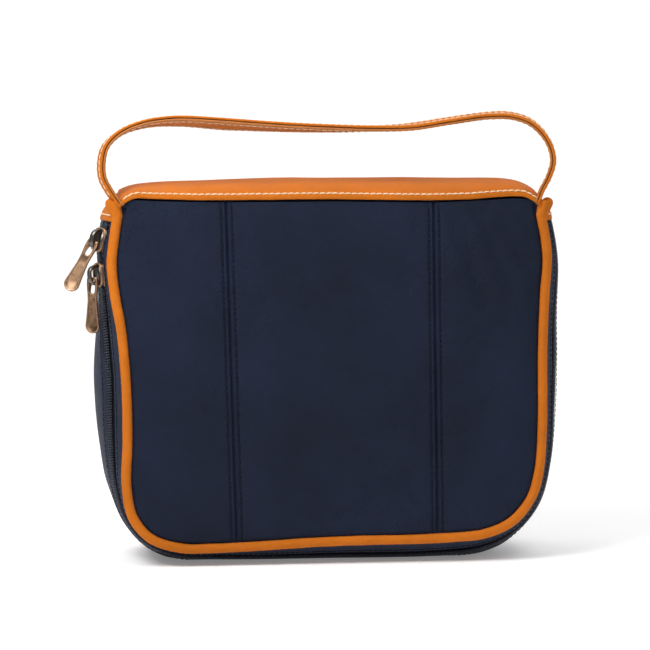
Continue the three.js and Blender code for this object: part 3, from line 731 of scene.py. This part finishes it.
# Stitching beside the zip on both leather edges.
for label, sign, body in (("front", -1, "lid"), ("rear", 1, "bag")):
    u = np.linspace(U0 + 0.002, U1 - 0.002, 500)
    path = side(u, ZIP_Y + sign * (STRIP_TO_ZIP + 1.6))
    normal = unit(with_y(zip_line.outward(u), -0.35))
    ob = stitches(f"{label}_zip_topstitch", path + normal * 0.3, normal, NAVY_THREAD, 3.0, 2.45, 0.28)
    placed(ob, body, "navy_leather")


# ---------- zip: tapes, and a coil of separate turns ----------
def tape(name, u0, u1, y0, y1, body, node):
    side_patch(name, u0, u1, y0, y1, 320, 6, 0.6, TAPE, body, "zip_tape", node, sink=LEATHER - 0.2)


# A turn of the zip's coil, at distances from the middle line: its height and half its width.
TURN_STATIONS = np.array([-0.35, 0.1, 0.65, 1.3, 1.95, 2.5])
TURN_HEIGHTS = (0.05, 0.45, 1.10, 1.22, 0.80, 0.08)
TURN_WIDTHS = (0.34, 0.50, 0.54, 0.52, 0.44, 0.30)
TURN_SIDES = 8
COIL_PITCH = 1.54
COIL_FLOOR_GAP = 0.03


def coil(name, u0, u1, toward, body, node):
    """Half of the zip: turns side by side, each reaching past the middle between two of the other half."""
    count = int(zip_line.length * (u1 - u0) / COIL_PITCH)
    phase = 0.0 if toward < 0 else 0.5
    vertices, faces = [], []
    step = 0.35 / zip_line.length
    y = ZIP_Y + toward * TURN_STATIONS
    for u in u0 + (np.arange(count) + 0.5 + phase) * (u1 - u0) / (count + 1):
        points = side(u, y)
        t = unit(side(u + step, y) - points)
        n = unit(np.cross(t, unit(np.gradient(points, axis=0))))
        n *= np.sign(dot(n, points - CORE))
        faces += tube_faces(len(points), TURN_SIDES, len(vertices))
        for p, ti, ni, height, width in zip(points, t, n, TURN_HEIGHTS, TURN_WIDTHS):
            centre = p + ni * (height * 0.5 - 0.55)
            for a in circle(TURN_SIDES):
                vertices.append(centre + ti * width * math.cos(a) + ni * (height * 0.5 + 0.25) * math.sin(a))
    vertices = np.array(vertices)
    vertices[:, 2] = np.maximum(vertices[:, 2], COIL_FLOOR_GAP)
    placed(mesh_object(name, vertices, faces, COIL), body, "zip_coil", node)


SLIDER_Z = {"upper": 185.5, "lower": 166.0}
SLIDER_RUN = {"upper": 2, "lower": 50}
SPLIT = zip_line.share_at_height(SLIDER_Z["lower"] - 8.2, True)
tape("front_zip_tape_weave", SPLIT, U1, ZIP_Y - STRIP_TO_ZIP - 4, ZIP_Y - 0.8, "lid", "front_zip_tape")
tape("front_zip_tape_closed_weave", U0, SPLIT, ZIP_Y - STRIP_TO_ZIP - 3.6, ZIP_Y - 0.8, "bag",
     "front_zip_tape_closed_end")
tape("rear_zip_tape_weave", U0, U1, ZIP_Y + 0.8, ZIP_Y + STRIP_TO_ZIP + 4, "bag", "rear_zip_tape")
coil("front_zip_teeth", SPLIT, U1, -1, "lid", "front_zip_coil")
coil("front_zip_teeth_closed", U0, SPLIT, -1, "bag", "front_zip_coil_closed_end")
coil("rear_zip_teeth", U0, U1, 1, "bag", "rear_zip_coil")

# ---------- top panel ----------
TOP_HALF_X, TOP_HALF_Y, TOP_Z, TOP_RISE, TOP_THICK = 119.6, 42.0, 208.9, 9.4, 2.0


def top_surface(x, y):
    """Height of the tan top's outer surface. It curls down at its two ends."""
    x, y = np.broadcast_arrays(np.asarray(x, float), np.asarray(y, float))
    share = np.clip((y + TOP_HALF_Y) / (2 * TOP_HALF_Y), 0, 1)
    across = np.sin(np.pi * share) ** 0.62
    end = (1 - 0.5 * np.abs(x / TOP_HALF_X) ** 12) * (1 - 0.24 * np.clip((-x - 20) / 90, 0, 1))
    curl = 6.0 * np.clip((np.abs(x) - 107.5) / 12.1, 0, 1) ** 2.0 * (1 - 0.8 * across)
    where = np.stack([x, y, np.zeros_like(x)], -1)
    waves = wobble(where, 60.0, 0.7, 11.0) * across + wobble(where, 16.0, 0.12, 12.0)
    return TOP_Z + TOP_THICK + TOP_RISE * across * end - curl + waves + edge_lift(x) * (1 - share) ** 2


crowding = math.pi / 2 * 0.94  # brings the grid's rows closer together where the top curls down
top_x = TOP_HALF_X * np.sin(np.linspace(-1, 1, 150) * crowding) / math.sin(crowding)
top_y = -TOP_HALF_Y * np.cos(np.linspace(0, math.pi, 90))
gx, gy = np.meshgrid(top_x, top_y, indexing="ij")
top_outer = np.stack([gx, gy, top_surface(gx, gy)], -1)
top_inner = top_outer - np.array([0, 0, TOP_THICK])
top_inner[..., 1] *= 0.985
top_panel = mesh_object("top_panel_leather", *sheet_solid(top_outer, top_inner, 3), TAN)
placed(top_panel, "bag", "tan_leather", "top_panel")
for label, sign in (("front", -1), ("rear", 1)):
    y = sign * (TOP_HALF_Y - 0.7)
    x = np.linspace(-TOP_HALF_X + 1.6, TOP_HALF_X - 1.6, 300)
    path = np.stack([x, np.full(300, y), top_surface(x, y)], -1)
    slope = np.stack([np.gradient(path[:, 2]), np.zeros(300), np.gradient(x)], -1) * (-1, 1, 1)
    normal = unit(unit(slope) + np.array([0, sign * 1.1, 0]))
    row = stitches(f"top_{label}_stitching", path + normal * 0.12, normal, PALE_THREAD, 3.6, 3.5, 0.40, 0.10)
    placed(row, "bag", "tan_leather")


# ---------- tan patches that close the ends ----------
def end_patch(label, left):
    """A patch from over the zip's end up to the top's end edge."""
    sign = -1 if left else 1
    heights = np.array([196.6, 198.0, 199.6, 201.4])
    shares = np.array([zip_line.share_at_height(z, left) for z in heights])[:, None]
    y = np.linspace(-33.5, SEAM_Y, 70)[None, :]
    low = side(shares, y)
    stand = np.array([1.2, 1.45, 1.45, 1.4])[:, None]  # how far it stands out at each height
    low = low + (with_y(zip_line.outward(shares[:, 0]), 0) * stand)[:, None]
    edge = TOP_HALF_X * sign
    top = np.stack([np.full(70, edge - sign * 0.6), y[0], top_surface(np.full(70, edge), y[0]) - 1.0], -1)
    steps = np.linspace(0, 1, 7)[1:, None, None]
    bow = sign * 1.1 * np.sin(math.pi * steps * 0.8) * np.array([1.0, 0, 0])
    high = low[-1] * (1 - steps) + top * steps + bow
    outer = np.concatenate([low, high])
    inner = outer - np.array([sign * 1.3, 0, 0])
    shell = sheet_solid(outer.swapaxes(0, 1), inner.swapaxes(0, 1), 3)
    patch = mesh_object(f"{label}_end_patch", *shell, TAN)
    placed(patch, "bag", "tan_leather", f"{label}_gusset_end_tab")
    path = outer[2] + np.array([sign * 0.1, 0, 0])
    normal = np.array([sign * 0.97, 0.0, 0.2])
    row = stitches(f"{label}_end_patch_stitching", path, normal, PALE_THREAD, 3.6, 3.5, 0.38)
    placed(row, "bag", "tan_leather")


end_patch("left", True)
end_patch("right", False)

# ---------- the fold of leather the lid hangs by, under the front edge of the top ----------
fold = [(-39.3, 204.5), (-39.4, 206.8), (-39.7, 207.9), (-39.3, 208.9), (-38.0, 209.8), (-36.4, 210.2)]
fold = catmull_rom(fold, 4)
x = np.linspace(-116.5, 116.5, 60)
fold_outer = np.array([[(v, y, z) for y, z in fold] for v in x])
fold_inner = fold_outer + np.array([0, 0.75, -0.2])
hinge_fold = mesh_object("lid_hinge_fold", *sheet_solid(fold_outer, fold_inner), NAVY)
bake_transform(hinge_fold)

# ---------- handle ----------
HANDLE_LINE = [
    (-118.9, 204.6), (-125.2, 213.6), (-128.8, 220.6), (-129.5, 229.1), (-127.2, 238.2), (-120, 245.4),
    (-107.1, 250.7), (-89, 252.8), (-57.1, 251), (-20, 249.2), (22.4, 248.6), (45.2, 249.6), (67.9, 253),
    (90.6, 256), (104, 255.8), (115.5, 251.6), (124.6, 241.6), (127.8, 230.8), (125.6, 221.8),
    (121.3, 213.8), (118.2, 206.2),
]
STRAP_Y, STRAP_WIDTH, STRAP_LAYER = -34.5, 15.0, 1.3
handle_curve = catmull_rom(HANDLE_LINE, 24)
handle_curve = resample(np.insert(handle_curve, 1, STRAP_Y, axis=1), 1.3)
share = np.linspace(0, 1, len(handle_curve))
handle_curve[:, 1] -= 1.6 * np.interp(share, [0, 0.05, 0.95, 1], [1, 0, 0, 1])
tangent = unit(np.gradient(handle_curve, axis=0))
up = unit(np.cross(tangent, FRONT))  # away from the hand
up *= np.sign(up[len(up) // 2, 2])
twist = np.radians(np.interp(share, [0, 0.04, 0.1, 0.16, 0.24, 0.32, 0.5, 0.64, 0.76, 0.86, 0.94, 1.0],
                             [8, 8, 6, -4, -13, -16, -6, 5, 4, 10, 11, 8]))
across = np.array([0.0, 1.0, 0.0]) * np.cos(twist)[:, None] + up * np.sin(twist)[:, None]
twisted_up = np.cross(across, tangent)
up = twisted_up * np.sign(dot(twisted_up, up))
narrow = np.interp(share, [0, 0.03, 0.08, 0.92, 0.97, 1], [0.8, 0.9, 1, 1, 0.9, 0.8])


def strap(name, low, high, material, node=None, trim=0.0):
    """A layer of the strap, between two heights over its middle line, narrower by trim."""
    columns = np.linspace(-0.5, 0.5, 13)
    crown = 0.35 * (1 - (2 * columns) ** 2)
    width = ((STRAP_WIDTH - trim) * narrow)[:, None, None] * columns[None, :, None]
    base = handle_curve[:, None] + across[:, None] * width + crown[None, :, None] * up[:, None]
    outer, inner = (base + up[:, None] * height for height in (high, low))
    ob = mesh_object(name, *sheet_solid(outer, inner, 3), material)
    if node:
        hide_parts(node)
    return ob


LAYER_LOW = 0.22
LAYER_HIGH = LAYER_LOW + STRAP_LAYER
strap_pieces = [
    strap("handle_outer_leather", LAYER_LOW, LAYER_HIGH, TAN, "handle_outer_strap"),
    strap("handle_inner_leather", -LAYER_HIGH, -LAYER_LOW, TAN_FLESH, "handle_inner_strap"),
    strap("handle_glued_middle", -0.2, 0.2, EDGE_DARK, trim=0.9),
]
for label, edge in (("front", -0.5), ("rear", 0.5)):
    offset = (STRAP_WIDTH * narrow * edge - np.sign(edge) * 2.0)[:, None]
    for face, sign in (("top", 1), ("under", -1)):
        path = (handle_curve + across * offset + up * (sign * LAYER_HIGH + 0.1))[6:-6]
        row = stitches(f"handle_{label}_{face}_stitching", path, sign * up[6:-6], PALE_THREAD, 3.6, 3.4, 0.34)
        strap_pieces.append(row)
for ob in strap_pieces:
    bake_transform(ob)

# Tan tabs that wrap the strap's sewn ends at the two top corners.
for label, sign in (("left", -1), ("right", 1)):
    line = [(121.2, -38.9, 196.5), (121.9, -38.5, 201.0), (123.3, -37.7, 204.6), (124.6, -36.9, 207.4),
            (125.3, -36.4, 209.4)]
    line = catmull_rom([(sign * x, y, z) for x, y, z in line], 10)
    grow = np.linspace(0, 1, len(line))
    radius = 0.86 * (3.1 + 0.9 * np.sin(grow * math.pi * 0.62))
    radius[-18:] *= np.sqrt(1 - np.linspace(0, 0.995, 18) ** 2)  # the end closes as a round
    hint = np.array([sign * 1.0, -0.15, 0.0])
    tab = tube(f"{label}_corner_tab_leather", line, radius, TAN, hint, 24, 1.0 - 0.2 * grow)
    placed(tab, "bag", "tan_leather", f"{label}_handle_tab")


# ---------- sliders and pulls, in each slider's axes: out of the zip, across it, up along it ----------
PLATE, CHANNEL_OUT, CHANNEL_IN = 1.1, 1.3, -4.2
PIVOT = (CHANNEL_OUT + PLATE + 3.7, -2.0)
SWING = {"upper": 13, "lower": 4}
TURN = {"upper": 34, "lower": 14}  # degrees each slider sits turned towards the front on its tape
PULL_TURN = {"upper": 24, "lower": 26}  # and how much further each pull is turned about its own length


def turned(axes, degrees):
    """Axes turned about their third axis, so that the first moves towards the front."""
    c, s = math.cos(math.radians(degrees)), math.sin(math.radians(degrees))
    forward = -1 if axes[1][1] > 0 else 1
    out = axes[0] * c + axes[1] * s * forward
    return np.stack([out, np.cross(axes[2], out), axes[2]])


def slider_axes(name):
    z, run = SLIDER_Z[name], SLIDER_RUN[name]
    at = [zip_line.at(zip_line.share_at_height(h, True)) for h in (z, z - run)]
    place, end = (np.array([p[0], ZIP_Y, p[1]]) for p in at)
    upward = unit(place - end)
    middle = zip_line.share_at_height(z - run / 2, True)
    over = side(middle, ZIP_Y + 2.0) - side(middle, ZIP_Y - 2.0)
    out = unit(np.cross(upward, over))
    return place, turned(np.stack([out, np.cross(upward, out), upward]), TURN[name])


def superellipse(half_y, half_z, power, count=40, taper=0.0, lift=0.0):
    """A loop between an ellipse (power 2) and a rectangle, wider towards the top by taper."""
    a = np.linspace(0, 2 * math.pi, count, endpoint=False)
    c, s = np.cos(a), np.sin(a)
    y = np.sign(c) * np.abs(c) ** (2 / power) * half_y
    z = np.sign(s) * np.abs(s) ** (2 / power) * half_z
    return np.column_stack([y * (1 + taper * z / half_z), z + lift])


def make_slider(name):
    place, axes = slider_axes(name)
    body = "bag" if name == "upper" else "lower_slider"
    top = CHANNEL_OUT + PLATE
    piece = f"{name}_slider_"
    pieces = []

    def plate(label, loop, x0, x1, material=COPPER, rounding=0.0, segments=2):
        """Adds a plate: a closed loop across the slider, between two outward distances."""
        rings = np.array([np.column_stack([np.full(len(loop), x), loop]) for x in (x0, x1)])
        ob = mesh_object(piece + label, *swept(rings @ axes + place), material)
        pieces.append(bevelled(ob, rounding, segments) if rounding else ob)

    plate("top_plate", superellipse(4.9, 7.0, 2.8, 48, 0.10), CHANNEL_OUT, top, COPPER, 0.35, 3)
    rim = superellipse(4.25, 6.35, 2.6, 60, 0.10)
    rim = np.column_stack([np.full(len(rim), top + 0.10), rim]) @ axes + place
    rim = np.vstack([rim, rim[:2]])
    pieces.append(tube(piece + "rim", rim, 0.55, COPPER, axes[0] + 0.01, 12, cap=False))
    plate("recess", superellipse(3.8, 5.9, 2.5, 40, 0.10), top - 0.2, top + 0.12, GUNMETAL)
    plate("under_plate", superellipse(4.3, 6.9, 3.0, 40, 0.08), CHANNEL_IN - PLATE, CHANNEL_IN, COPPER, 0.3)
    plate("post", superellipse(0.2, 1.0, 2.2, 20, lift=5.4), CHANNEL_IN - 0.2, CHANNEL_OUT + 0.2)
    for sign, label in ((-1, "a"), (1, "b")):
        wing = np.array([(4.0 * sign, -6.6), (4.0 * sign, 6.2), (5.05 * sign, 6.2), (5.05 * sign, -6.6)])
        plate(f"wing_{label}", wing[::sign], CHANNEL_OUT - 1.7, CHANNEL_OUT + 0.3, COPPER, 0.3)
    for ob in pieces:
        placed(ob, body, "antique_copper")
    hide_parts(piece + "body")

    # The bridge the pull hangs in: outward and upward places of half its arch.
    half_arch = [(0, 5.0), (2.2, 4.9), (4.2, 4.1), (5.35, 2.2), (5.45, 0)]
    arch = [(top + 0.1 + x, 0, z) for x, z in half_arch + [(x, -z) for x, z in half_arch[-2::-1]]]
    arch = catmull_rom(arch, 6) @ axes + place
    thick = 1.35 + 0.45 * np.sin(np.linspace(0, math.pi, len(arch)))
    bridge = tube(piece + "bridge_arch", arch, thick, GUNMETAL, axes[1], 16, 0.62)
    placed(bridge, body, "gunmetal", piece + "bridge")

    # The pull hangs from its bar in the bridge. Its axes are the slider's, swung outward.
    angle = math.radians(SWING[name])
    c, s = math.cos(angle), math.sin(angle)
    pivot = place + axes[0] * PIVOT[0] + axes[2] * PIVOT[1]
    straight = turned(axes, -TURN[name])
    hang = np.stack([straight[0] * c + straight[2] * s, straight[1], -straight[0] * s + straight[2] * c])
    pull = make_pull(name, pivot, turned(hang, TURN[name] + PULL_TURN[name]))
    for ob in pull:
        placed(ob, f"{name}_pull", "antique_copper")
    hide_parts(f"{name}_pull_tab")


def pull_half_width(z):
    """Half the pull's width at a distance below its bar."""
    return np.interp(z, [-1.0, 0, 4, 9, 13, 20, 26.4], [2.9, 3.5, 3.55, 3.1, 3.05, 3.75, 4.55])


def ring_in(loop, x, inset=0.0):
    """A loop of the pull drawn in by inset, at a distance x out of its middle plane."""
    along = unit(np.roll(loop, -1, 0) - np.roll(loop, 1, 0))
    n = np.column_stack([along[:, 1], -along[:, 0]])
    n *= np.sign(dot(n, loop - loop.mean(0)).mean())
    return np.column_stack([np.full(len(loop), x), loop - n * inset])


def make_pull(name, pivot, hang):
    """A flat metal pull: round end, a real slot at the top, and a raised border on both faces."""
    end_z, end_r, half = 26.4, 4.55, 0.85
    border, floor = 0.75, half - 0.28
    down = np.linspace(-1.0, end_z, 30)
    right = np.column_stack([pull_half_width(down), -down])
    a = np.linspace(0, math.pi, 20)[1:-1]
    tip = np.column_stack([end_r * np.cos(a), -end_z - end_r * np.sin(a)])
    outer = resample_loop(np.vstack([right, tip, right[::-1] * (-1, 1)]), 96)
    slot = superellipse(1.95, 3.7, 3.2, 96, lift=-4.6)[::-1]
    towards = (outer[0] - slot.mean(0)) * 0.3
    slot = np.roll(slot, -np.argmin(np.linalg.norm(slot - slot.mean(0) - towards, axis=1)), axis=0)

    # The section goes round from the slot's edge, over one face, round the rim and back over the other face.
    rings = [ring_in(slot, half - 0.1), ring_in(slot, half + 0.05, -0.35), ring_in(slot, floor, -0.75)]
    for part in (0.25, 0.5, 0.75):
        rings.append(ring_in(slot, floor, -0.8) * (1 - part) + ring_in(outer, floor, border + 0.5) * part)
    rings += [ring_in(outer, floor, border + 0.3), ring_in(outer, half + 0.08, border - 0.1),
              ring_in(outer, half, 0.22), ring_in(outer, half - 0.3)]
    mirror = [ring * (-1, 1, 1) for ring in rings[::-1]]
    points = np.array(rings + mirror) @ hang + pivot
    rows, sides, _ = points.shape
    last = (rows - 1) * sides
    closing = [[last + k, last + (k + 1) % sides, (k + 1) % sides, k] for k in range(sides)]
    faces = tube_faces(rows, sides, cap=False) + closing
    pull = mesh_object(f"{name}_pull_metal", points.reshape(-1, 3), faces, COPPER)
    # The bar across the top of the slot, worn round where it turns in the bridge.
    bar = np.array([(0, y, 0.0) for y in np.linspace(-2.9, 2.9, 9)]) @ hang + pivot
    return [pull, tube(f"{name}_pull_bar", bar, 0.95, COPPER, hang[0], 14)]


for slider in ("upper", "lower"):
    make_slider(slider)

# ---------- back ----------
BACK_TOP_Z = 206.9
back_line = back_edge.inset(np.linspace(0, 1, 240), FACE_INSET)
back_sides, (back_left_x, back_right_x), back_corners = face_sides(back_edge, BACK_TOP_Z, 4)
back_top = line_between((back_left_x, BACK_TOP_Z), (back_right_x, BACK_TOP_Z))
back_boundary = (*back_sides, back_top, outline_between(back_edge, *back_corners, FACE_INSET))
back = face_panel("back_panel_leather", back_boundary, 130, 120, (), back_line, 1, 9.0)
placed(back, "bag", "navy_leather", "back_panel")

# ---------- inside: a net pocket on the lid, and cloth on the linings ----------
low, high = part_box("lid_mesh_pocket")
low, high = np.array(low) / MM, np.array(high) / MM
cell = 3.5
span = high - low
columns, rows = int(span[0] / cell), int(span[2] / cell)
net_points = []
for i in range(rows + 1):
    for j in range(columns + 1):
        stagger = 0.5 * cell if i % 2 and 0 < j < columns else 0
        sag = 1.2 * math.sin(math.pi * j / columns) * math.sin(math.pi * i / rows)
        net_points.append((low[0] + span[0] * j / columns + stagger, (low[1] + high[1]) / 2 + sag,
                           low[2] + span[2] * i / rows))
net = mesh_object("lid_pocket_net", net_points, grid_faces(rows + 1, columns + 1), NET)
wires = net.modifiers.new("yarns", "WIREFRAME")
wires.thickness = 0.55 * MM
wires.use_even_offset = False
placed(net, "lid", "pocket_mesh", "lid_mesh_pocket")

CLOTHED = {
    "lid_lining": LINING, "lid_gusset_lining": LINING, "back_lining": LINING, "gusset_lining": LINING,
    "top_lining": LINING, "elastic_loop_band": ELASTIC, "lid_pocket_binding": TAN, "lid_foam_pad": HIDDEN,
    "back_board": HIDDEN, "base_board": LINING, "front_piping_cord": HIDDEN, "back_piping_cord": HIDDEN,
}
for node, material in CLOTHED.items():
    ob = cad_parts[node]
    ob.data.materials.clear()
    ob.data.materials.append(material)

# ---------- stage, lights and camera ----------
bpy.context.scene.view_settings.view_transform = "Standard"


def backdrop():
    """A pale floor that curves up into a pale wall."""
    bend = np.linspace(0, math.pi / 2, 16)
    curve = [(-3.2, 0), *zip(2.2 + 1.2 * np.sin(bend), 1.2 - 1.2 * np.cos(bend)), (3.4, 4.5)]
    points = [[(x, y, z) for x in np.linspace(-6, 6, 12)] for y, z in curve]
    flat = np.array(points).reshape(-1, 3) / MM
    n = Nodes("pale_floor")
    speckle = n.noise(30, 3.0)
    n.surface(Base_Color=n.mix(speckle, (0.93, 0.93, 0.93, 1), (0.96, 0.96, 0.96, 1)))
    n.surface(Roughness=0.9, Specular_IOR_Level=0.1, Emission_Color=(1, 1, 1, 1), Emission_Strength=0.20)
    ob = mesh_object("floor", flat, grid_faces(len(curve), 12), n.material)
    ob.location.z = -0.0002
    return ob


backdrop()


def area_light(name, place, target, width, height, power):
    data = bpy.data.lights.new(name, "AREA")
    data.shape, data.size, data.size_y, data.energy = "RECTANGLE", width, height, power
    ob = add_object(name, data)
    ob.location = place
    ob.rotation_euler = (Vector(target) - Vector(place)).to_track_quat("-Z", "Y").to_euler()


area_light("left_softbox", (-0.42, -0.42, 0.70), (-0.03, 0, 0.18), 0.36, 0.40, 6.2)
area_light("front_softbox", (0.30, -0.38, 0.72), (0.08, 0, 0.2), 0.4, 0.3, 1.5)
area_light("top_softbox", (0.0, 0.1, 1.35), (0, 0, 0.15), 1.2, 0.8, 5)
area_light("right_strip", (1.2, 0.1, 0.6), (0, 0, 0.12), 0.35, 1.1, 3)
area_light("wall_wash", (0.0, 1.4, 2.6), (0, 3.3, 1.0), 3.5, 1.2, 60)
world = bpy.data.worlds.new("studio")
world.use_nodes = True
sky = world.node_tree.nodes["Background"].inputs
sky["Color"].default_value = (0.96, 0.97, 1.0, 1)
sky["Strength"].default_value = 0.09
bpy.context.scene.world = world

camera_data = bpy.data.cameras.new("camera")
camera = add_object("camera", camera_data)
bpy.context.scene.camera = camera
camera_data.sensor_width = 36
camera_data.lens = 136.7
AZIMUTH, ELEVATION, DISTANCE = math.radians(-5.5), math.radians(4.5), 1.4
target = Vector((-0.0038, FACE_Y * MM, 0.1376))
back_off = Vector((math.sin(AZIMUTH) * math.cos(ELEVATION), -math.cos(AZIMUTH) * math.cos(ELEVATION),
                   math.sin(ELEVATION)))
camera.location = target + back_off * DISTANCE
camera.rotation_euler = (-back_off).to_track_quat("-Z", "Y").to_euler()
camera_data.clip_start, camera_data.clip_end = 0.05, 50
